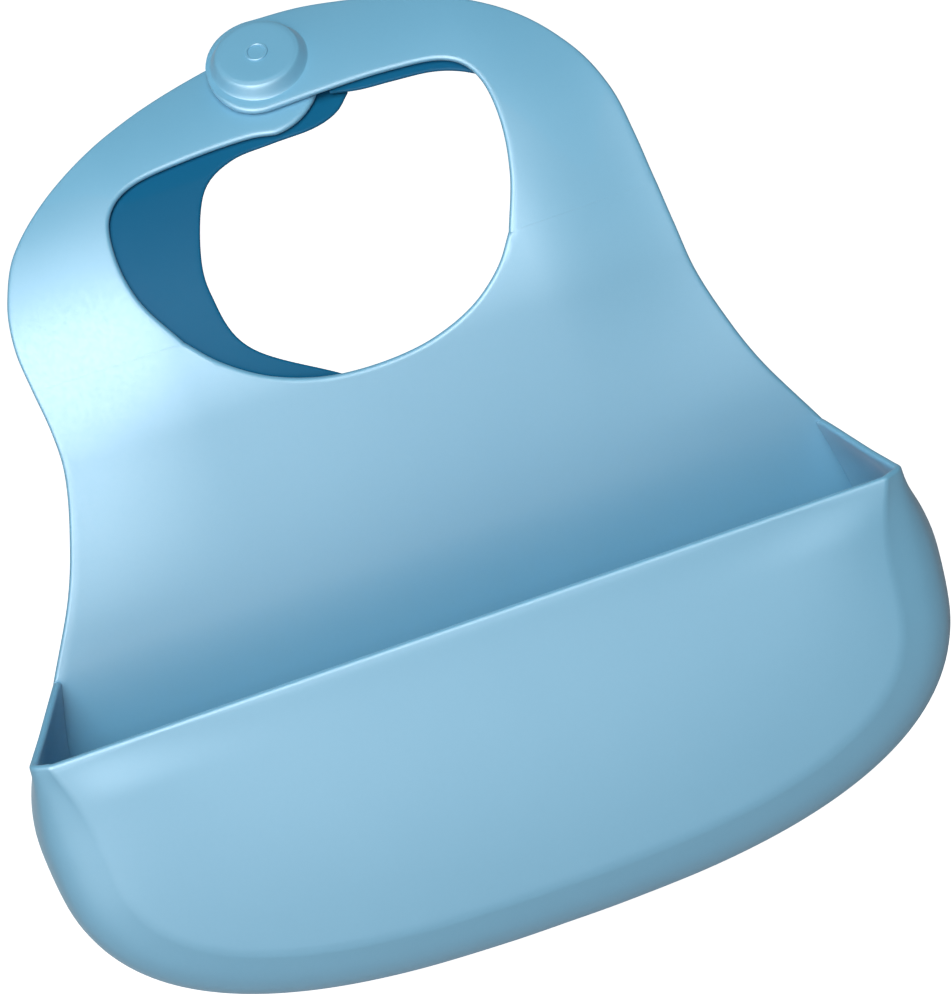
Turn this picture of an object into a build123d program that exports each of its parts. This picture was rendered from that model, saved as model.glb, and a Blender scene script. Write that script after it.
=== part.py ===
from build123d import *
import math
import os

# Silicone baby bib with a moulded crumb pocket and a magnetic nape closure.
# Frame: +Z up, front is -Y, +X to the viewer's right. The origin is the centre
# of the neck opening, on the middle of the sheet. All sizes are millimetres.

# ---- driving dimensions -------------------------------------------------
THICK = 2.0                 # silicone sheet
NECK_HEIGHT = 72.0          # neck opening, measured along the sheet
NECK_HALF = 53.5            # neck opening, half width
NECK_WIDEST = 55.0          # height on the sheet where the opening is widest
NECK_ROUNDNESS = 2.2        # superellipse exponent of the opening's lower edge
BEND_RADIUS = 88.5          # the collar curves back round the neck
ROOT_HEIGHT = 22.0          # the arms start here, measured along the sheet
NAPE_HEIGHT = 87.0          # middle of the nape strap, along the sheet
STRAP_HALF = 15.5           # half width of the nape strap
ARM_SPREAD = 3.5            # bend radius of an arm differs by this, so that they lap
RIGHT_END = -3.4            # x of the right arm's round end
LEFT_END = -4.0             # x of the left arm's round end
LEFT_DROP = 1.2             # the left arm lies this much lower at the nape
HINGE_GAP = 0.15            # slit at the living hinge of each arm

RIM_BELOW_NECK = 58.5       # pocket rim below the bottom of the neck opening
POCKET_WIDEST = 31.0        # depth below the rim where the pocket is widest
POCKET_ROUNDNESS = 2.65     # superellipse exponent of the pocket's lower edge
# pocket sections from the chest forward: (forward, rim half, widest half, depth)
POCKET_SECTIONS = [
    (0.0, 110.5, 114.0, 92.0),
    (11.0, 113.0, 122.0, 99.5),
    (22.0, 115.5, 125.5, 102.0),
    (35.0, 118.5, 123.5, 97.0),
    (41.0, 119.0, 118.5, 91.0),
    (45.0, 114.0, 108.5, 81.0),
]

BUTTON_RADIUS = 12.0
BUTTON_HEIGHT = 3.4
EMBLEM_RADIUS = 3.0
EMBLEM_HEIGHT = 0.5
EMBLEM_WIDTH = 1.0
BUTTON_EDGE = 1.4           # rounding of the button's edge
SUNK = 1.5                  # a boss reaches this far below the face before trimming
MAGNET_LIFT = 0.45          # keeps a flat magnet clear of the curved sheet
MAGNET_RADIUS = 6.0
MAGNET_THICK = 1.8
MAGNET_PLAY = 0.1
CATCH_RADIUS = 9.0
CATCH_HEIGHT = 3.0
CATCH_EDGE = 1.2
CATCH_CLEAR = 0.4           # the lip stands this far clear of the catch pad
CATCH_RELIEF = 12.0         # length of the cutter that clears the lip from the pad
LIP_THICK = 1.0
LIP_GAP = 0.12

# edges of the chest and of an arm, (x, height along the sheet) for the +X side
CHEST_SIDE = [(110.5, -58.5), (98.0, -35.0), (91.5, -18.0), (87.5, -3.0), (86.5, 12.0),
              (86.5, 30.0)]
NECK_EDGE_HEIGHTS = (40.0, 28.0, 16.0, 7.0, 2.0)
ARM_OUTER = [(86.5, 10.0), (86.5, 22.0), (86.0, 42.0), (82.5, 55.0), (75.0, 68.5),
             (61.0, 81.0), (38.0, 93.0), (15.0, 100.3)]
ARM_INNER_HEIGHTS = (10.0, 16.0, 26.0, 38.0, 50.0)
ARM_INNER_TOP = [(51.5, 62.5), (43.5, 69.5), (28.0, 71.6)]

# outlines of the soft lips, (x, height along the sheet) for the +X side
LEFT_LIP = [(70.0, 30.0), (56.0, 25.5), (43.0, 27.0), (34.5, 36.0), (31.0, 48.0),
            (30.0, 58.0), (22.0, 67.0), (6.0, 69.0), (-8.0, 70.0), (-8.0, 76.0),
            (30.0, 80.0), (62.0, 70.0), (74.0, 52.0)]
RIGHT_LIP = [(24.0, 69.6), (38.0, 68.8), (46.0, 66.0), (49.5, 58.0), (60.0, 54.0),
             (78.0, 58.0), (72.0, 68.0), (56.0, 79.0), (38.0, 82.0), (26.0, 78.0)]

# ---- derived values -----------------------------------------------------
MIDDLE_ANGLE = NECK_HEIGHT / 2 / BEND_RADIUS
NECK_Z = -BEND_RADIUS * math.sin(MIDDLE_ANGLE)
FLAT_Y = -BEND_RADIUS * (1 - math.cos(MIDDLE_ANGLE))
FRONT_Y = FLAT_Y - THICK / 2
RIM_Z = NECK_Z - RIM_BELOW_NECK
ROOT_ANGLE = ROOT_HEIGHT / BEND_RADIUS
RIGHT_BEND = BEND_RADIUS + ARM_SPREAD
LEFT_BEND = BEND_RADIUS - ARM_SPREAD
SHEET_END_ANGLE = 1.35
CUT_ANGLE = 0.80            # arms are trimmed square to the sheet at this bend angle
SIDE = 150.0                # more than half the width
CUT_REACH = 60.0            # outlines are pushed this far each way through the sheet
FLAT_LENGTH = 200.0         # flat slab below the neck opening, before trimming
CAVITY_RISE = 6.0           # the cavity's cutter stands this far above the rim
CAVITY_BACK = 1.0           # and this far behind the chest's front face
LOWER_EDGE_STEPS = 5        # places on each half of the pocket's lower edge


def height_to_z(height):
    """Z of a place on the middle of the sheet, from its height along the sheet."""
    if height < 0:
        return NECK_Z + height
    return NECK_Z + BEND_RADIUS * math.sin(height / BEND_RADIUS)


def sheet_place(bend, angle, offset=0.0):
    """(y, z) at a bend angle on a sheet of that bend radius, offset forward of its middle.

    Every sheet is tangent to the flat chest at the bottom of the neck opening.
    """
    reach = bend + offset
    return (FLAT_Y + bend - reach * math.cos(angle), NECK_Z + reach * math.sin(angle))


def bent_sheet(bend, thickness, first_angle, last_angle, offset=0.0):
    """Slab bent round X, over a range of bend angles."""
    outer = offset + thickness / 2
    inner = offset - thickness / 2
    middle = (first_angle + last_angle) / 2
    with BuildSketch(Plane.YZ.offset(-SIDE)) as section:
        with BuildLine():
            ThreePointArc(*[sheet_place(bend, a, outer) for a in (first_angle, middle, last_angle)])
            Line(sheet_place(bend, last_angle, outer), sheet_place(bend, last_angle, inner))
            ThreePointArc(*[sheet_place(bend, a, inner) for a in (last_angle, middle, first_angle)])
            Line(sheet_place(bend, first_angle, inner), sheet_place(bend, first_angle, outer))
        make_face()
    return extrude(section.sketch, 2 * SIDE)


def root_plane():
    """Plane across the sheet where the arms start, facing up the sheet."""
    y, z = sheet_place(BEND_RADIUS, ROOT_ANGLE)
    return Plane(origin=(0, y, z), x_dir=(1, 0, 0),
                 z_dir=(0, math.sin(ROOT_ANGLE), math.cos(ROOT_ANGLE)))


def neck_half_at(height):
    """Half width of the neck opening below its widest place."""
    share = abs(NECK_WIDEST - height) / NECK_WIDEST
    return NECK_HALF * max(0.0, 1 - share ** NECK_ROUNDNESS) ** (1 / NECK_ROUNDNESS)


def pocket_outline(top, widest, depth, inset=0.0, rise=0.0):
    """Open U of points (x, z) from the rim on the right to the rim on the left."""
    power = 2 / POCKET_ROUNDNESS
    top, widest, depth = top - inset, widest - inset, depth - inset
    right = []
    for below in ([-rise] if rise else []) + [0.0, POCKET_WIDEST / 2]:
        flare = ((POCKET_WIDEST - below) / POCKET_WIDEST) ** 2
        right.append((widest - (widest - top) * flare, RIM_Z - below))
    for step in range(LOWER_EDGE_STEPS):
        angle = math.pi / 2 * step / LOWER_EDGE_STEPS
        right.append((widest * math.cos(angle) ** power,
                      RIM_Z - POCKET_WIDEST - (depth - POCKET_WIDEST) * math.sin(angle) ** power))
    left = [(-x, z) for x, z in reversed(right)]
    return right + [(0.0, RIM_Z - depth)] + left


def pocket_body(inset, rise, back_extra):
    """Closed loft of the pocket's sections, each drawn in from the outside by inset."""
    faces = []
    sections = list(POCKET_SECTIONS)
    for index, (forward, top, widest, depth) in enumerate(sections):
        if index == 0:
            forward -= back_extra
        if index == len(sections) - 1:
            forward -= inset
        with BuildSketch(Plane.XZ.offset(forward - FRONT_Y)) as sketch:
            with BuildLine() as line:
                points = pocket_outline(top, widest, depth, inset, rise)
                Spline(points)
                Line(points[-1], points[0])
            make_face()
        faces.append(sketch.sketch.faces()[0])
    return loft(faces)


def make_pocket():
    return pocket_body(0.0, 0.0, 0.0) - pocket_body(THICK, CAVITY_RISE, CAVITY_BACK)


def make_chest():
    """Flat back of the pocket and the chest above it, up to the roots of the arms."""
    flat = Pos(0, FLAT_Y, NECK_Z - FLAT_LENGTH / 2) * Box(2 * SIDE, THICK, FLAT_LENGTH)
    bend = bent_sheet(BEND_RADIUS, THICK, 0.0, ROOT_ANGLE - HINGE_GAP / BEND_RADIUS)
    slab = flat + bend
    lower = pocket_outline(*POCKET_SECTIONS[0][1:])
    right = [(x, height_to_z(height)) for x, height in CHEST_SIDE]
    left = [(-x, z) for x, z in right]
    with BuildSketch(Plane.XZ.offset(-CUT_REACH)) as outline:
        with BuildLine():
            Spline(right)
            Line(right[-1], left[-1])
            Spline(left)
            Spline(lower)
        make_face()
    with BuildSketch(Plane.XZ.offset(-CUT_REACH)) as hole:
        with BuildLine():
            edge = [(neck_half_at(h), height_to_z(h)) for h in NECK_EDGE_HEIGHTS]
            curve = edge + [(0.0, NECK_Z)] + [(-x, z) for x, z in reversed(edge)]
            Spline(curve)
            Line(curve[-1], curve[0])
        make_face()
    prism = extrude(outline.sketch, 2 * CUT_REACH) - extrude(hole.sketch, 2 * CUT_REACH)
    return slab & prism


def trim_plane(bend):
    """Plane square to the sheet's face at CUT_ANGLE, with its y along the sheet."""
    y, z = sheet_place(bend, CUT_ANGLE)
    return Plane(origin=(0, y, z), x_dir=(1, 0, 0),
                 z_dir=(0, -math.cos(CUT_ANGLE), math.sin(CUT_ANGLE)))


def on_trim(x, height, drop=0.0):
    """Place on the trim plane of a place on the sheet."""
    return (x, BEND_RADIUS * math.sin((height - drop) / BEND_RADIUS - CUT_ANGLE))


def make_arm(bend, end_x, drop):
    """Collar arm for the +X side, from its root to its round end past the centre line."""
    inner = [(neck_half_at(h), h) for h in ARM_INNER_HEIGHTS] + ARM_INNER_TOP
    top = NAPE_HEIGHT + STRAP_HALF
    bottom = NAPE_HEIGHT - STRAP_HALF
    outer_curve = [on_trim(x, h) for x, h in ARM_OUTER] + [on_trim(end_x, top, drop)]
    inner_curve = [on_trim(x, h) for x, h in inner] + [on_trim(end_x, bottom, drop)]
    with BuildSketch(trim_plane(bend)) as outline:
        with BuildLine():
            Spline(outer_curve)
            ThreePointArc(outer_curve[-1], on_trim(end_x - STRAP_HALF, NAPE_HEIGHT, drop),
                          inner_curve[-1])
            Spline(inner_curve)
            Line(inner_curve[0], outer_curve[0])
        make_face()
    slab = bent_sheet(bend, THICK, 0.0, SHEET_END_ANGLE)
    arm = slab & extrude(outline.sketch, CUT_REACH, both=True)
    return split(arm, bisect_by=root_plane(), keep=Keep.TOP)


def make_lip(bend, points):
    """Thin soft lip behind the collar, trimmed to a closed outline given for the +X side."""
    offset = -(THICK / 2 + LIP_GAP + LIP_THICK / 2)
    slab = bent_sheet(bend, LIP_THICK, 0.0, SHEET_END_ANGLE, offset)
    with BuildSketch(trim_plane(bend)) as outline:
        with BuildLine():
            Spline([on_trim(x, h) for x, h in points], periodic=True)
        make_face()
    lip = slab & extrude(outline.sketch, CUT_REACH, both=True)
    return split(lip, bisect_by=root_plane().offset(LIP_GAP), keep=Keep.TOP)


def face_frame(bend, outward):
    """Plane on the sheet's front (1) or back (-1) face at the closure, z away from it."""
    angle = NAPE_HEIGHT / BEND_RADIUS
    y, z = sheet_place(bend, angle, outward * THICK / 2)
    normal = (0, -outward * math.cos(angle), outward * math.sin(angle))
    return Plane(origin=(RIGHT_END, y, z), x_dir=(1, 0, 0), z_dir=normal)


def whole_roll(bend, offset):
    """Solid cylinder inside the bend, used to fit parts to the curved faces."""
    return Pos(0, FLAT_Y + bend, NECK_Z) * Rot(0, 90, 0) * Cylinder(bend + offset, 2 * SIDE)


def round_boss(frame, radius, height, edge):
    """Boss standing on a face, with a softened edge and a blind magnet seat below.

    It reaches SUNK below the face, so that it can be trimmed to the curve of the sheet.
    """
    upright = (Align.CENTER, Align.CENTER, Align.MIN)
    body = Cylinder(radius, height + SUNK, align=upright)
    body = fillet(body.edges().group_by(Axis.Z)[-1], edge)
    seat = Cylinder(MAGNET_RADIUS + MAGNET_PLAY, SUNK + MAGNET_LIFT + MAGNET_THICK + MAGNET_PLAY,
                    align=upright)
    return frame * (Pos(0, 0, -SUNK) * (body - seat))


def make_button():
    """Round button on the right arm's end."""
    boss = round_boss(face_frame(RIGHT_BEND, 1), BUTTON_RADIUS, BUTTON_HEIGHT, BUTTON_EDGE)
    return boss - whole_roll(RIGHT_BEND, THICK / 2)


def make_catch():
    """Low round pad on the skin side of the left arm."""
    boss = round_boss(face_frame(LEFT_BEND, -1), CATCH_RADIUS, CATCH_HEIGHT, CATCH_EDGE)
    return boss & whole_roll(LEFT_BEND, -THICK / 2)


def make_magnet(bend, outward):
    disc = Cylinder(MAGNET_RADIUS, MAGNET_THICK, align=(Align.CENTER, Align.CENTER, Align.MIN))
    return face_frame(bend, outward) * (Pos(0, 0, MAGNET_LIFT) * disc)


def make_emblem():
    """Plain raised ring on the button."""
    upright = (Align.CENTER, Align.CENTER, Align.MIN)
    ring = Cylinder(EMBLEM_RADIUS, EMBLEM_HEIGHT, align=upright)
    ring -= Cylinder(EMBLEM_RADIUS - EMBLEM_WIDTH, EMBLEM_HEIGHT, align=upright)
    return face_frame(RIGHT_BEND, 1) * (Pos(0, 0, BUTTON_HEIGHT) * ring)


def make_left_lip():
    """The left lip, mirrored into place, clear of the catch pad that stands behind it."""
    lip = mirror(make_lip(LEFT_BEND, LEFT_LIP), Plane.YZ)
    return lip - face_frame(LEFT_BEND, -1) * Cylinder(CATCH_RADIUS + CATCH_CLEAR, CATCH_RELIEF)


nodes = {
    "chest_panel": make_chest(),
    "crumb_pocket": make_pocket(),
    "right_arm": make_arm(RIGHT_BEND, RIGHT_END, 0.0),
    "left_arm": mirror(make_arm(LEFT_BEND, -LEFT_END, LEFT_DROP), Plane.YZ),
    "left_neck_lip": make_left_lip(),
    "right_neck_lip": make_lip(RIGHT_BEND, RIGHT_LIP),
    "closure_button": make_button(),
    "button_emblem": make_emblem(),
    "button_magnet": make_magnet(RIGHT_BEND, 1),
    "catch_pad": make_catch(),
    "catch_magnet": make_magnet(LEFT_BEND, -1),
}

os.makedirs("parts", exist_ok=True)
for name, shape in nodes.items():
    solids = shape.solids()
    export_step(solids[0] if len(solids) == 1 else Compound(children=list(solids)),
                f"parts/{name}.step")
    box = shape.bounding_box()
    print(name, len(solids), round(shape.volume, 1), box.min, box.max)
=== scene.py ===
import bmesh
import bpy
import math
import numpy as np
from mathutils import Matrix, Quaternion, Vector


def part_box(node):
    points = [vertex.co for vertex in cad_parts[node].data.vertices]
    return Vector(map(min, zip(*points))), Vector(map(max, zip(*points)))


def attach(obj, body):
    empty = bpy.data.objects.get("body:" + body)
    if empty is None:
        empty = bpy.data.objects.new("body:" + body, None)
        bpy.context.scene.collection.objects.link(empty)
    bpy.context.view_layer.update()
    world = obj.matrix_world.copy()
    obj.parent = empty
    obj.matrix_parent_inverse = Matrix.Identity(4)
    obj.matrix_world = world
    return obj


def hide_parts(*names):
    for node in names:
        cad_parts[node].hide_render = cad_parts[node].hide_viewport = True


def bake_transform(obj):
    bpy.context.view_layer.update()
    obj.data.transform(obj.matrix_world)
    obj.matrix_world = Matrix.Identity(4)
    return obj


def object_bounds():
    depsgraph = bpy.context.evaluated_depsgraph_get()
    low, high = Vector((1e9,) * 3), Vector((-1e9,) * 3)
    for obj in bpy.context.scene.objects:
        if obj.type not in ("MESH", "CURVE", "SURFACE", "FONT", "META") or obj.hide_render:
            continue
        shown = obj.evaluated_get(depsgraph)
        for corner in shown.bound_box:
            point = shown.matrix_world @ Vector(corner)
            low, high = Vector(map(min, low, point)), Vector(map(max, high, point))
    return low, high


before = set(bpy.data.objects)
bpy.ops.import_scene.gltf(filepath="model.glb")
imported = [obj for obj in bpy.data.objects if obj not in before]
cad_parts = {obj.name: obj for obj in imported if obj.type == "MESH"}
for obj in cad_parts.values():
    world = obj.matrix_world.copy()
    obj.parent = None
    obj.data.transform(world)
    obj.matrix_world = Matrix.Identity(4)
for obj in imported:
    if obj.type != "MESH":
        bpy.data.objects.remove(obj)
cad_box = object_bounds()

# ---- sizes, in metres -----------------------------------------------------
MM = 0.001
THICK = 2.0 * MM
HALF = THICK / 2
BEND = 88.5 * MM               # bend radius of the collar
ARM_SPREAD = 3.5 * MM          # the arms bend a little more or less, so that they lap
SPREAD_RUN = 32.0 * MM         # an arm takes up that difference over this length
NECK_HALF = 53.5 * MM
NECK_WIDEST = 55.0 * MM        # height along the sheet where the opening is widest
NECK_ROUNDNESS = 2.2           # superellipse exponent of the opening's lower edge
ROOT = 22.0 * MM               # arms start here, along the sheet
BLEND_END = 52.0 * MM          # a height along the sheet; only on_sheet calls whose result is not used take it
RIM_BELOW_NECK = 58.5 * MM
POCKET_WIDEST = 31.0 * MM
POCKET_ROUNDNESS = 2.65        # superellipse exponent of its lower edge
FRONT_CROWN = 1.6 * MM         # the front wall bulges this much
CROWN_FADE = 14.0 * MM         # the bulge fades out over this depth below the rim
WALL_RISE = 4.0 * MM           # the side walls rise this much towards the chest
WALL_TUCK = 0.014              # and draw in by this share, to meet the chest's edge
RIM_BLEND = 20.0 * MM          # the rise and the tuck fade out over this depth
NAPE = 87.0 * MM               # middle of the nape strap, along the sheet
LEFT_END = -4.0 * MM           # the left arm's round end is centred here, just under the button
LEFT_DROP = 1.2 * MM           # it lies this much lower at the nape
STRAP_HALF = 15.5 * MM         # half width of the nape strap
LIP_THICK = 1.2 * MM
RIM_LINE_HALF = 84.0 * MM      # the front wall's rows run out along this much of the rim
LIP_GAP = 0.25 * MM            # between an arm and the lip behind it
COLLAR_LEAN = 2.6 * MM         # the lapped closure draws the collar over to its left
SHOULDER_BACK = 6.0 * MM       # how far the shoulders curl back at their outer edges
CHEST_HALF = 86.5 * MM         # half width of the chest where the arms start
EDGE_STEPS = 8                 # faces round a sheet's edge
ROOT_COLUMNS = 22              # of the chest's columns, on each arm's root

FRONT_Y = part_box("chest_panel")[0][1]
FLAT_Y = FRONT_Y + HALF
RIM_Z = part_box("crumb_pocket")[1][2]
NECK_Z = RIM_Z + RIM_BELOW_NECK
button_low, button_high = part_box("closure_button")
BUTTON_X = (button_low[0] + button_high[0]) / 2

# pocket sections from the chest forward: (forward, rim half, widest half, depth), mm
POCKET_SECTIONS = [
    (0.0, 110.5, 114.0, 92.0),
    (11.0, 113.0, 122.0, 99.5),
    (22.0, 115.5, 125.5, 102.0),
    (35.0, 118.5, 123.5, 97.0),
    (41.0, 119.0, 118.5, 91.0),
    (45.0, 114.0, 108.5, 81.0),
]


# ---- small maths ------------------------------------------------------------
def smooth(value):
    value = min(1.0, max(0.0, value))
    return value * value * (3 - 2 * value)


def curve_through(points, count):
    """Evenly spaced places on a Catmull-Rom curve through the points."""
    p = np.array(points, float)
    p = np.vstack([2 * p[0] - p[1], p, 2 * p[-1] - p[-2]])
    fine = []
    for i in range(1, len(p) - 2):
        for t in np.linspace(0, 1, 40, endpoint=False):
            a, b, c, d = p[i - 1], p[i], p[i + 1], p[i + 2]
            fine.append(0.5 * (2 * b + (c - a) * t + (2 * a - 5 * b + 4 * c - d) * t ** 2
                               + (3 * b - a - 3 * c + d) * t ** 3))
    fine.append(p[-2])
    fine = np.array(fine)
    run = np.concatenate([[0], np.cumsum(np.linalg.norm(np.diff(fine, axis=0), axis=1))])
    want = np.linspace(0, run[-1], count)
    return np.stack([np.interp(want, run, fine[:, k]) for k in range(fine.shape[1])], -1)


def on_sheet(x, height, spread=0.0, offset=0.0):
    """Place on the bib's middle sheet, from x and the height along the sheet above the neck."""
    bend = BEND + spread * smooth((height - ROOT) / SPREAD_RUN)
    angle = max(height, 0.0) / BEND
    reach = bend + offset
    outward = smooth((abs(x) - 48 * MM) / (45 * MM))
    reach -= SHOULDER_BACK * outward * smooth((height + 45 * MM) / (80 * MM))
    x -= COLLAR_LEAN * smooth(height / (40 * MM)) * (1 - smooth((height - 60 * MM) / (30 * MM)))
    y = FLAT_Y + bend - reach * math.cos(angle)
    z = NECK_Z + reach * math.sin(angle) + min(height, 0.0)
    return (x, y, z)


def neck_half_at(height):
    """Half width of the neck opening below its widest place."""
    share = abs(NECK_WIDEST - height) / NECK_WIDEST
    return NECK_HALF * max(0.0, 1 - share ** NECK_ROUNDNESS) ** (1 / NECK_ROUNDNESS)


def unit(vector):
    return vector / max(np.linalg.norm(vector), 1e-12)


def grid_normals(grid):
    """Unit normal at each place of a grid; a corner takes its neighbours' mean."""
    along = np.gradient(grid, axis=0)
    across = np.gradient(grid, axis=1)
    normal = np.cross(across, along)
    for r, c in ((0, 0), (0, -1), (-1, 0), (-1, -1)):
        normal[r, c] = normal[r, c + 1 if c == 0 else c - 1] + normal[r + 1 if r == 0 else r - 1, c]
    return normal / np.maximum(np.linalg.norm(normal, axis=2, keepdims=True), 1e-12)


# ---- shells -----------------------------------------------------------------
def add_mesh(name, points, faces, material):
    mesh = bpy.data.meshes.new(name)
    mesh.from_pydata([tuple(p) for p in points], [], faces)
    mesh.validate()
    mesh.update()
    piece = bpy.data.objects.new(name, mesh)
    bpy.context.scene.collection.objects.link(piece)
    mesh.materials.append(material)
    for face in mesh.polygons:
        face.use_smooth = True
    return piece


def shell(name, grid, thickness, edge_kind, material, facing, inset=True):
    """Closed sheet round a grid of middle points.

    edge_kind(row, column) says what an edge point gets: "round", "flat", or "half" for
    an edge that is square in front and rounded behind. facing is a direction that the
    front side looks along at the grid's middle. With inset the grid's edge is the
    finished edge, and without it the rounding stands outside the grid.
    """
    rows, columns, _ = grid.shape
    half = thickness / 2
    normal = grid_normals(grid)
    middle = normal[rows // 2, columns // 2]
    if float(np.dot(middle, facing)) < 0:
        normal = -normal
    edge = ([(r, 0) for r in range(rows)] + [(rows - 1, c) for c in range(1, columns)]
            + [(r, columns - 1) for r in range(rows - 2, -1, -1)]
            + [(0, c) for c in range(columns - 2, 0, -1)])
    grid = grid.copy()
    kinds = [edge_kind(r, c) for r, c in edge]
    outward = {}
    for i, (r, c) in enumerate(edge):
        away = np.zeros(3)
        if c in (0, columns - 1):
            away += unit(grid[r, c] - grid[r, 1 if c == 0 else columns - 2])
        if r in (0, rows - 1):
            away += unit(grid[r, c] - grid[1 if r == 0 else rows - 2, c])
        if i and np.linalg.norm(away) < 0.5:
            away = outward[edge[i - 1]]
        before = i - 1 if kinds[i - 1] != "flat" else i
        after = (i + 1) % len(edge)
        after = after if kinds[after] != "flat" else i
        along_edge = grid[edge[after]] - grid[edge[before]]
        across_edge = unit(np.cross(along_edge, normal[r, c]))
        outward[r, c] = across_edge * (1 if np.dot(across_edge, away) > 0 else -1)
    points = []
    for side in (1, -1):
        for r in range(rows):
            for c in range(columns):
                points.append(grid[r, c] + side * half * normal[r, c])
    back = rows * columns
    faces = []
    for r in range(rows - 1):
        for c in range(columns - 1):
            a, b = r * columns + c, r * columns + c + 1
            d, e = a + columns, b + columns
            faces.append((a, b, e, d))
            faces.append((a + back, d + back, e + back, b + back))
    rings = []
    for (r, c), kind in zip(edge, kinds):
        n, d = normal[r, c], outward[r, c]
        base = grid[r, c] - (d * half if inset and kind != "flat" else 0)
        index = r * columns + c
        if kind != "flat":
            points[index] = base + half * n + (d * half if kind == "half" else 0)
            points[index + back] = base - half * n
        ring = [index]
        for k in range(1, EDGE_STEPS):
            angle = math.pi * k / EDGE_STEPS
            reach = math.sin(angle) if kind != "flat" else 0.0
            if kind == "half" and angle < math.pi / 2:
                reach = 1.0
            points.append(base + half * (math.cos(angle) * n + reach * d))
            ring.append(len(points) - 1)
        ring.append(index + back)
        rings.append(ring)
    for i, ring in enumerate(rings):
        following = rings[(i + 1) % len(rings)]
        for k in range(EDGE_STEPS):
            faces.append((ring[k], following[k], following[k + 1], ring[k + 1]))
    piece = add_mesh(name, points, faces, material)
    tidy_mesh(piece)
    return piece


def tidy_mesh(piece):
    """Welds doubled points and turns every face outward."""
    work = bmesh.new()
    work.from_mesh(piece.data)
    bmesh.ops.remove_doubles(work, verts=work.verts, dist=0.00002)
    bmesh.ops.dissolve_degenerate(work, edges=work.edges, dist=0.00001)
    bmesh.ops.recalc_face_normals(work, faces=work.faces)
    work.to_mesh(piece.data)
    work.free()
    for face in piece.data.polygons:
        face.use_smooth = True
    piece.data.set_sharp_from_angle(angle=math.radians(40))


# ---- materials --------------------------------------------------------------
def silicone(name, base, pale, veil, density):
    """Powdery satin silicone: a saturated body colour under a broad pale gloss."""
    material = bpy.data.materials.new(name)
    material.use_nodes = True
    nodes, links = material.node_tree.nodes, material.node_tree.links
    shader = nodes["Principled BSDF"]
    place = nodes.new("ShaderNodeTexCoord")

    def noise(scale, detail):
        texture = nodes.new("ShaderNodeTexNoise")
        texture.inputs["Scale"].default_value = scale
        texture.inputs["Detail"].default_value = detail
        links.new(place.outputs["Object"], texture.inputs["Vector"])
        return texture.outputs["Fac"]

    def spread(value, low, high):
        span = nodes.new("ShaderNodeMapRange")
        span.inputs["From Min"].default_value = 0.3
        span.inputs["From Max"].default_value = 0.7
        span.inputs["To Min"].default_value = low
        span.inputs["To Max"].default_value = high
        links.new(value, span.inputs["Value"])
        return span.outputs["Result"]

    cloud = noise(14, 3)
    tone = nodes.new("ShaderNodeMix")
    tone.data_type = "RGBA"
    tone.inputs["A"].default_value = (*base, 1)
    tone.inputs["B"].default_value = (*pale, 1)
    links.new(spread(cloud, 0.0, 1.0), tone.inputs["Factor"])
    links.new(tone.outputs["Result"], shader.inputs["Base Color"])
    links.new(spread(noise(900, 4), 0.47, 0.55), shader.inputs["Roughness"])
    shader.inputs["IOR"].default_value = density
    shader.inputs["Specular IOR Level"].default_value = veil
    shader.inputs["Sheen Weight"].default_value = 0.35 * veil
    shader.inputs["Sheen Roughness"].default_value = 0.5
    grain = nodes.new("ShaderNodeBump")
    grain.inputs["Strength"].default_value = 0.10
    grain.inputs["Distance"].default_value = 0.00008
    links.new(noise(2600, 5), grain.inputs["Height"])
    swell = nodes.new("ShaderNodeBump")
    swell.inputs["Strength"].default_value = 0.12
    swell.inputs["Distance"].default_value = 0.0006
    links.new(noise(22, 1), swell.inputs["Height"])
    links.new(grain.outputs["Normal"], swell.inputs["Normal"])
    links.new(swell.outputs["Normal"], shader.inputs["Normal"])
    return material


def plated_metal():
    material = bpy.data.materials.new("plated_metal")
    material.use_nodes = True
    nodes, links = material.node_tree.nodes, material.node_tree.links
    shader = nodes["Principled BSDF"]
    shader.inputs["Base Color"].default_value = (0.58, 0.59, 0.61, 1)
    shader.inputs["Metallic"].default_value = 1.0
    scratch = nodes.new("ShaderNodeTexNoise")
    scratch.inputs["Scale"].default_value = 1500
    span = nodes.new("ShaderNodeMapRange")
    span.inputs["To Min"].default_value = 0.2
    span.inputs["To Max"].default_value = 0.4
    links.new(scratch.outputs["Fac"], span.inputs["Value"])
    links.new(span.outputs["Result"], shader.inputs["Roughness"])
    return material


blue = silicone("blue_silicone", (0.123, 0.385, 0.572), (0.134, 0.400, 0.586), 0.6, 1.9)
# painted shade: the lips' dark blue stands for the light blue silicone lying in shade behind the collar
lip_painted_shade = silicone("lip_painted_shade_silicone", (0.001, 0.100, 0.215), (0.002, 0.115, 0.235), 0.15, 1.4)
metal = plated_metal()


# ---- pieces -----------------------------------------------------------------
def pocket_u(top, widest, depth, count):
    """The U of one pocket section, as (x, z)."""
    power = 2 / POCKET_ROUNDNESS
    right = []
    for below in (0.0, POCKET_WIDEST / 3, POCKET_WIDEST * 2 / 3):
        flare = ((POCKET_WIDEST - below) / POCKET_WIDEST) ** 2
        right.append((widest - (widest - top) * flare, -below))
    for step in range(11):
        angle = math.radians(8.6 * step)
        right.append((widest * math.cos(angle) ** power,
                      -POCKET_WIDEST - (depth - POCKET_WIDEST) * math.sin(angle) ** power))
    points = right + [(0.0, -depth)] + [(-x, z) for x, z in reversed(right)]
    line = curve_through(points, count)
    line[:, 1] = RIM_Z + line[:, 1]
    return line


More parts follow.
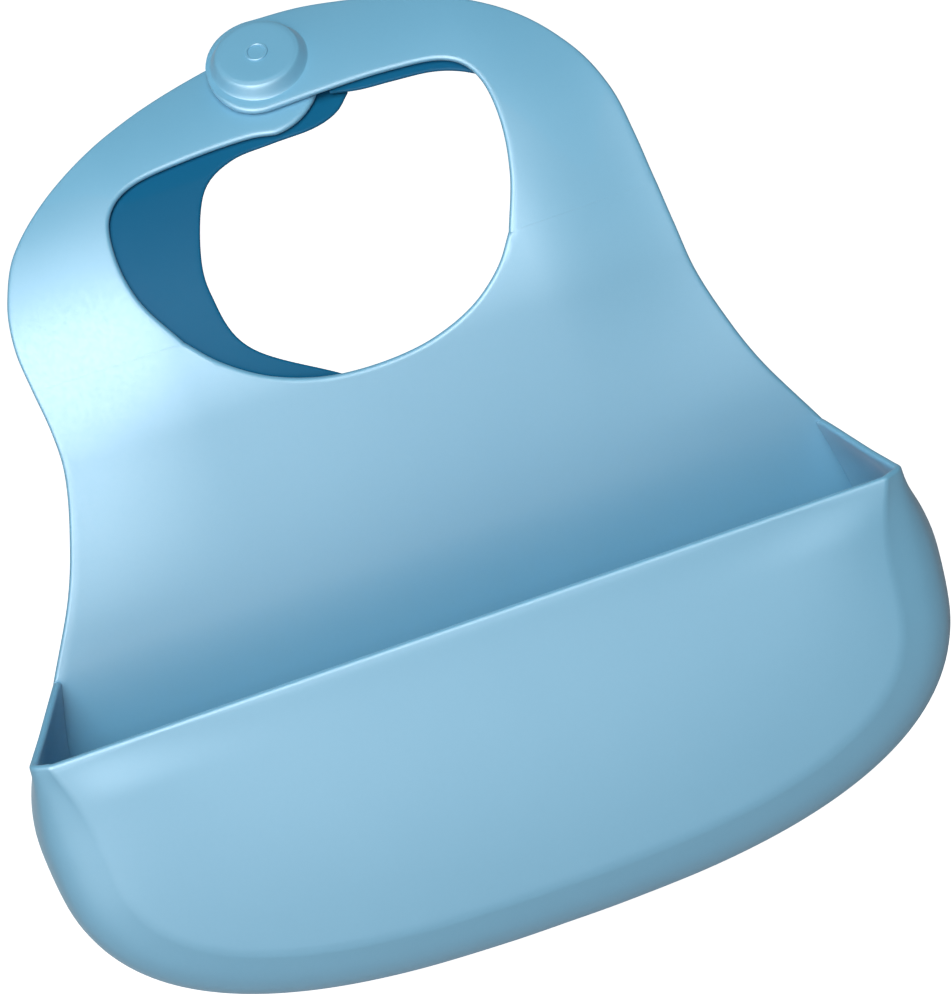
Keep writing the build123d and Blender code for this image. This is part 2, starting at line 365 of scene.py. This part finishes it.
def make_pocket():
    columns = 161
    forward = curve_through([[v * MM for v in s] for s in POCKET_SECTIONS], 34)
    rows = []
    for y, top, widest, depth in forward:
        line = pocket_u(top, widest, depth, columns)
        rise = WALL_RISE * (1 - smooth(y / (38 * MM)))
        rows.append([])
        for x, z in line:
            near_rim = smooth(1 + (z - RIM_Z) / RIM_BLEND)
            rows[-1].append((x * (1 - WALL_TUCK * rise / WALL_RISE * near_rim), FRONT_Y - y,
                             z + rise * near_rim))
    y, top, widest, depth = forward[-1]
    last_u = pocket_u(top, widest, depth, columns)
    rim_line = np.stack([np.linspace(RIM_LINE_HALF, -RIM_LINE_HALF, columns),
                         np.full(columns, RIM_Z)], -1)
    flat_rows = 30
    for k in range(1, flat_rows + 1):
        t = k / flat_rows
        line = last_u * (1 - t) + rim_line * t
        crown = FRONT_CROWN * math.sin(math.pi * t) * (1 - t)
        rows.append([(x, FRONT_Y - y - crown * smooth((RIM_Z - z) / CROWN_FADE), z) for x, z in line])
    outer = np.array(rows)
    normal = grid_normals(outer)
    if normal[len(rows) // 2, columns // 2, 1] > 0:
        normal = -normal
    middle = outer - normal * HALF
    middle[:, :, 2] -= HALF * np.clip(1 + (middle[:, :, 2] - RIM_Z) / RIM_BLEND, 0, 1)

    def kind(row, column):
        return "flat" if row == 0 else "round"

    piece = shell("crumb_pocket_moulding", middle, THICK, kind, blue, (0, -1, 0), inset=False)
    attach(piece, "bib")
    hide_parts("crumb_pocket")
    return piece


def make_chest():
    """Chest and pocket back: a patch between the pocket's outline and the arm roots."""
    columns, rows = 121, 121
    first = [v * MM for v in POCKET_SECTIONS[0]]
    outline = pocket_u(first[1], first[2], first[3], 401)
    outline[:, 1] -= NECK_Z
    corner = 105
    bottom = curve_through(outline[corner:-corner:6][::-1], columns)
    edge = [(98 * MM, -35 * MM), (91.5 * MM, -18 * MM), (87.5 * MM, -3 * MM),
            (CHEST_HALF, 10 * MM), (CHEST_HALF, ROOT)]
    side = curve_through(list(outline[:corner + 1:7][::-1]) + edge, rows)
    bottom[0], bottom[-1] = (-side[0][0], side[0][1]), side[0]
    root_in = neck_half_at(ROOT)
    arc = [(-neck_half_at(h), h) for h in np.array([22, 15, 9, 5, 2, 0.5]) * MM] + [(0.0, 0.0)]
    arc += [(-x, h) for x, h in reversed(arc[:-1])]
    hole = curve_through(arc, columns - 2 * ROOT_COLUMNS)
    left_root = [(x, ROOT) for x in np.linspace(-CHEST_HALF, -root_in, ROOT_COLUMNS, endpoint=False)]
    right_root = [(-x, h) for x, h in reversed(left_root)]
    top = np.array(left_root + [tuple(p) for p in hole] + right_root)
    patch = np.zeros((rows, columns, 2))
    for r in range(rows):
        v = r / (rows - 1)
        right = side[r]
        left = np.array([-right[0], right[1]])
        for c in range(columns):
            u = c / (columns - 1)
            corners = ((1 - u) * (1 - v) * bottom[0] + u * (1 - v) * bottom[-1]
                       + (1 - u) * v * top[0] + u * v * top[-1])
            patch[r, c] = ((1 - v) * bottom[c] + v * top[c] + (1 - u) * left + u * right - corners)
    grid = np.array([[on_sheet(x, h) for x, h in row] for row in patch])

    def kind(row, column):
        if patch[row, column, 1] < WALL_RISE - RIM_BELOW_NECK:
            return "half"
        if row == rows - 1 and (0 < column < ROOT_COLUMNS or -1 > column - columns >= -ROOT_COLUMNS):
            return "flat"
        return "round"

    piece = shell("chest_moulding", grid, THICK, kind, blue, (0, -1, 0))
    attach(piece, "bib")
    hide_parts("chest_panel")
    return piece


# paired places on the arm's outer and inner edges, from the root to the nape, mm
ARM_OUTER = [(86.5, 22), (86.3, 36), (84.2, 50), (77.8, 64.5), (64, 78.5), (40, 92), (15, 100.5)]
ARM_INNER = [(44.8, 22), (51.1, 36), (53.4, 50), (51.6, 62.5), (44, 69.4), (28, 71.6), (12, 71.8)]


def make_arm(name, sign, end_x, drop, spread, node):
    count, cross = 90, 17
    end = end_x * sign
    outer = [(x * MM, h * MM) for x, h in ARM_OUTER] + [(end, NAPE + STRAP_HALF - drop)]
    inner = [(x * MM, h * MM) for x, h in ARM_INNER] + [(end, NAPE - STRAP_HALF - drop)]
    outer_line = curve_through(outer, count)
    inner_line = curve_through(inner, count)
    sections = [(a, b) for a, b in zip(outer_line, inner_line)]
    for k in range(1, 15):
        angle = math.pi / 2 * k / 14
        reach = (STRAP_HALF - HALF) * math.sin(angle)
        width = max(HALF * 1.05, STRAP_HALF * math.cos(angle))
        x = end - reach
        sections.append((np.array([x, NAPE - drop + width]), np.array([x, NAPE - drop - width])))
    grid = []
    for a, b in sections:
        row = []
        for t in np.linspace(0, 1, cross):
            x, h = a * (1 - t) + b * t
            row.append(on_sheet(sign * x, h, spread))
        grid.append(row)

    def kind(row, column):
        if row == 0 and 0 < column < cross - 1:
            return "flat"
        return "round"

    piece = shell(name, np.array(grid), THICK, kind, blue, (0, -0.7, 0.7))
    on_sheet(0, ROOT)
    on_sheet(0, BLEND_END)
    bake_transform(piece)
    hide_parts(node)
    return piece


def make_lip(name, sign, outer, inner, spread, node):
    """Soft layer behind the collar, between two matched edge lines in mm; its dark blue is painted shade,
    for the collar's own light blue silicone where it stands in shade.
    """
    a_line = curve_through([(x * MM, h * MM) for x, h in outer], 70)
    b_line = curve_through([(x * MM, h * MM) for x, h in inner], 70)
    back = -(HALF + LIP_GAP + LIP_THICK / 2)
    grid = [[on_sheet(sign * (a[0] * (1 - t) + b[0] * t), a[1] * (1 - t) + b[1] * t, spread, back)
             for t in np.linspace(0, 1, 15)] for a, b in zip(a_line, b_line)]
    # the lip gets the painted shade colour, not a colour of its own
    piece = shell(name, np.array(grid), LIP_THICK, lambda r, c: "round", lip_painted_shade, (0, -0.7, 0.7))
    on_sheet(0, ROOT)
    on_sheet(0, BLEND_END)
    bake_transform(piece)
    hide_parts(node)
    return piece


def turned(name, profile, centre, normal, material, bend=0.0, segments=96):
    """Closed turned piece; profile is (radius, height) from the axis below to the axis above.

    With a bend radius its foot follows a sheet that is bent round X, and its top stays flat.
    """
    normal = Vector(normal).normalized()
    side = Vector((1, 0, 0))
    other = normal.cross(side)
    points, faces = [], []
    top = profile[-1][1]
    inner = profile[1:-1]
    for radius, height in inner:
        for k in range(segments):
            angle = 2 * math.pi * k / segments
            spoke = side * math.cos(angle) + other * math.sin(angle)
            sag = 0.0
            if bend:
                sag = (radius * math.sin(angle)) ** 2 / (2 * bend) * (1 - smooth(height / top))
            points.append(Vector(centre) + normal * (height - sag) + spoke * radius)
    for i in range(len(inner) - 1):
        for k in range(segments):
            a, b = i * segments + k, i * segments + (k + 1) % segments
            faces.append((a, b, b + segments, a + segments))
    for height, ring in ((profile[0][1], 0), (profile[-1][1], len(inner) - 1)):
        points.append(Vector(centre) + normal * height)
        tip = len(points) - 1
        for k in range(segments):
            faces.append((ring * segments + k, ring * segments + (k + 1) % segments, tip))
    piece = add_mesh(name, points, faces, material)
    tidy_mesh(piece)
    return piece


def arc_profile(centre, radius, start, stop, count=8):
    return [(centre[0] + radius * math.cos(math.radians(a)),
             centre[1] + radius * math.sin(math.radians(a))) for a in np.linspace(start, stop, count)]


def closure_axis(spread, side):
    """Centre and outward normal on an arm's face at the closure; side 1 is the front."""
    middle = Vector(on_sheet(BUTTON_X, NAPE, spread))
    angle = NAPE / BEND
    normal = Vector((0, -math.cos(angle), math.sin(angle))) * side
    return middle + normal * HALF, normal


def make_button():
    """Round button with a soft foot that follows the strap, and a plain ring on top."""
    centre, normal = closure_axis(ARM_SPREAD, 1)
    slope = [(13.6 - 2.7 * t, -0.12 + 2.95 * smooth(t)) for t in np.linspace(0, 1, 18)]
    crest = [(10.4, 3.02), (10.0, 3.10), (9.4, 3.15)]
    dish = [(6.0, 3.17), (3.0, 3.18), (1.0, 3.18)]
    profile = [(0, -0.6), (13.4, -0.6)] + slope + crest + dish + [(0, 3.18)]
    profile = [(r * MM, h * MM) for r, h in profile]
    piece = turned("closure_button_moulding", profile, centre, normal, blue, BEND + ARM_SPREAD + HALF)
    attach(piece, "right_collar")
    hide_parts("closure_button")
    ring = [(2.3, 3.0), (2.3, 3.42), (2.5, 3.62), (2.9, 3.62), (3.1, 3.42), (3.1, 3.0)]
    mark = ring_piece("button_ring_mark", ring, centre, normal, blue)
    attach(mark, "right_collar")
    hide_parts("button_emblem")


def ring_piece(name, loop, centre, normal, material, segments=64):
    """Closed ring whose cross-section is the loop of (radius, height) in mm."""
    side = Vector((1, 0, 0))
    other = normal.cross(side)
    size = len(loop)
    points, faces = [], []
    for k in range(segments):
        angle = 2 * math.pi * k / segments
        spoke = side * math.cos(angle) + other * math.sin(angle)
        for radius, height in loop:
            points.append(centre + normal * height * MM + spoke * radius * MM)
    for k in range(segments):
        for i in range(size):
            a, b = k * size + i, k * size + (i + 1) % size
            c, d = ((k + 1) % segments) * size + (i + 1) % size, ((k + 1) % segments) * size + i
            faces.append((a, b, c, d))
    piece = add_mesh(name, points, faces, material)
    tidy_mesh(piece)
    return piece


def make_catch():
    """Low pad on the skin side of the left arm, over its magnet."""
    centre, normal = closure_axis(-ARM_SPREAD, -1)
    edge = arc_profile((7.4, 1.5), 1.45, 0, 90)
    profile = [(0, -0.6), (9.6, -0.6), (9.5, 0.05), (9.1, 0.35), (8.9, 0.9)] + edge
    profile += [(5.0, 2.92), (2.0, 2.9), (0, 2.9)]
    piece = turned("catch_pad_moulding", [(r * MM, h * MM) for r, h in profile], centre, normal, blue)
    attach(piece, "left_collar")
    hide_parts("catch_pad")


def plate(node):
    """The magnets keep their own shape and get a plated finish."""
    for slot_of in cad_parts[node].material_slots:
        slot_of.material = metal


make_pocket()
make_chest()
make_arm("right_arm_moulding", 1, BUTTON_X, 0.0, ARM_SPREAD, "right_arm")
make_arm("left_arm_moulding", -1, LEFT_END, LEFT_DROP, -ARM_SPREAD, "left_arm")
LIP_LEFT_OUTER = [(9, -3), (38, 8), (56, 26), (60, 46), (57, 62), (46, 72), (28, 76), (8, 78), (-10, 80),
                  (-15, 80)]
LIP_LEFT_INNER = [(9, -0.6), (29.6, 15), (33.2, 32), (31.4, 47), (25.6, 62), (17, 68), (6, 69), (-6, 69.4),
                  (-13, 72), (-17, 77)]
LIP_RIGHT_OUTER = [(13, 73), (24, 77), (34, 79), (46, 75), (57, 70), (65, 64), (70, 60)]
LIP_RIGHT_INNER = [(13, 71.6), (21, 69.9), (30, 69.2), (40, 68.2), (47.5, 65.8), (55, 61.5), (62, 57)]
make_lip("left_neck_lip_soft", -1, LIP_LEFT_OUTER, LIP_LEFT_INNER, -ARM_SPREAD,
         "left_neck_lip")
make_lip("right_neck_lip_soft", 1, LIP_RIGHT_OUTER, LIP_RIGHT_INNER, ARM_SPREAD,
         "right_neck_lip")
make_button()
make_catch()
plate("button_magnet")
plate("catch_magnet")


# ---- stage, light and camera ----------------------------------------------------
def make_floor():
    """Floor that glows for camera rays only, which makes a white background."""
    material = bpy.data.materials.new("pale_floor")
    material.use_nodes = True
    shader = material.node_tree.nodes["Principled BSDF"]
    shader.inputs["Base Color"].default_value = (0.55, 0.56, 0.57, 1)
    shader.inputs["Roughness"].default_value = 0.8
    nodes, links = material.node_tree.nodes, material.node_tree.links
    seen = nodes.new("ShaderNodeLightPath")
    shader.inputs["Emission Color"].default_value = (1, 1, 1, 1)
    links.new(seen.outputs["Is Camera Ray"], shader.inputs["Emission Strength"])
    low = cad_box[0][2] - 0.12
    corners = [(-6, -4, low), (6, -4, low), (6, 10, low), (-6, 10, low)]
    mesh = bpy.data.meshes.new("floor")
    mesh.from_pydata(corners, [], [(0, 1, 2, 3)])
    mesh.materials.append(material)
    floor = bpy.data.objects.new("floor", mesh)
    bpy.context.scene.collection.objects.link(floor)


def area_light(name, place, target, size, power, glossy_only=False, diffuse_only=False):
    """Square light; it can be kept out of the diffuse or out of the glossy light."""
    light = bpy.data.lights.new(name, "AREA")
    light.shape = "SQUARE"
    light.size = size
    light.energy = power
    holder = bpy.data.objects.new(name, light)
    holder.location = place
    holder.rotation_euler = (Vector(target) - Vector(place)).to_track_quat("-Z", "Y").to_euler()
    holder.visible_diffuse = not glossy_only
    holder.visible_glossy = not diffuse_only
    bpy.context.scene.collection.objects.link(holder)


def make_light():
    aim = (0, 0, -0.07)
    area_light("key", (-0.45, -1.15, 0.65), aim, 0.7, 12.0, diffuse_only=True)
    area_light("top_front", (0.0, -0.80, 1.10), aim, 0.7, 8.8, diffuse_only=True)
    area_light("veil", (-0.55, -1.20, 0.30), aim, 1.4, 46, glossy_only=True)
    area_light("veil_left", (-0.85, -0.60, 0.72), aim, 1.0, 2.5, glossy_only=True)
    world = bpy.data.worlds.new("studio")
    world.use_nodes = True
    shade = world.node_tree.nodes["Background"]
    shade.inputs["Color"].default_value = (0.92, 0.96, 1.0, 1)
    shade.inputs["Strength"].default_value = 0.11
    bpy.context.scene.world = world
    bpy.context.scene.view_settings.view_transform = "Standard"


def make_camera():
    """Camera at its azimuth and elevation round the bib, turned about its own line of sight."""
    azimuth, elevation, roll = math.radians(-3.0), math.radians(21.6), math.radians(-17.9)
    distance, aim = 1.0, Vector((0, 0, -0.072))
    right_shift, down_shift = 0.0163, 0.0056
    back = Vector((math.sin(azimuth) * math.cos(elevation),
                   -math.cos(azimuth) * math.cos(elevation), math.sin(elevation)))
    turn = (-back).to_track_quat("-Z", "Y")
    data = bpy.data.cameras.new("camera")
    data.lens = 134.2
    data.sensor_width = 36
    camera = bpy.data.objects.new("camera", data)
    bpy.context.scene.collection.objects.link(camera)
    camera.rotation_mode = "QUATERNION"
    rotation = turn @ Quaternion((0, 0, 1), roll)
    right, up = rotation @ Vector((1, 0, 0)), rotation @ Vector((0, 1, 0))
    camera.rotation_quaternion = rotation
    camera.location = aim + back * distance + right * right_shift - up * down_shift
    bpy.context.scene.camera = camera


make_floor()
make_light()
make_camera()
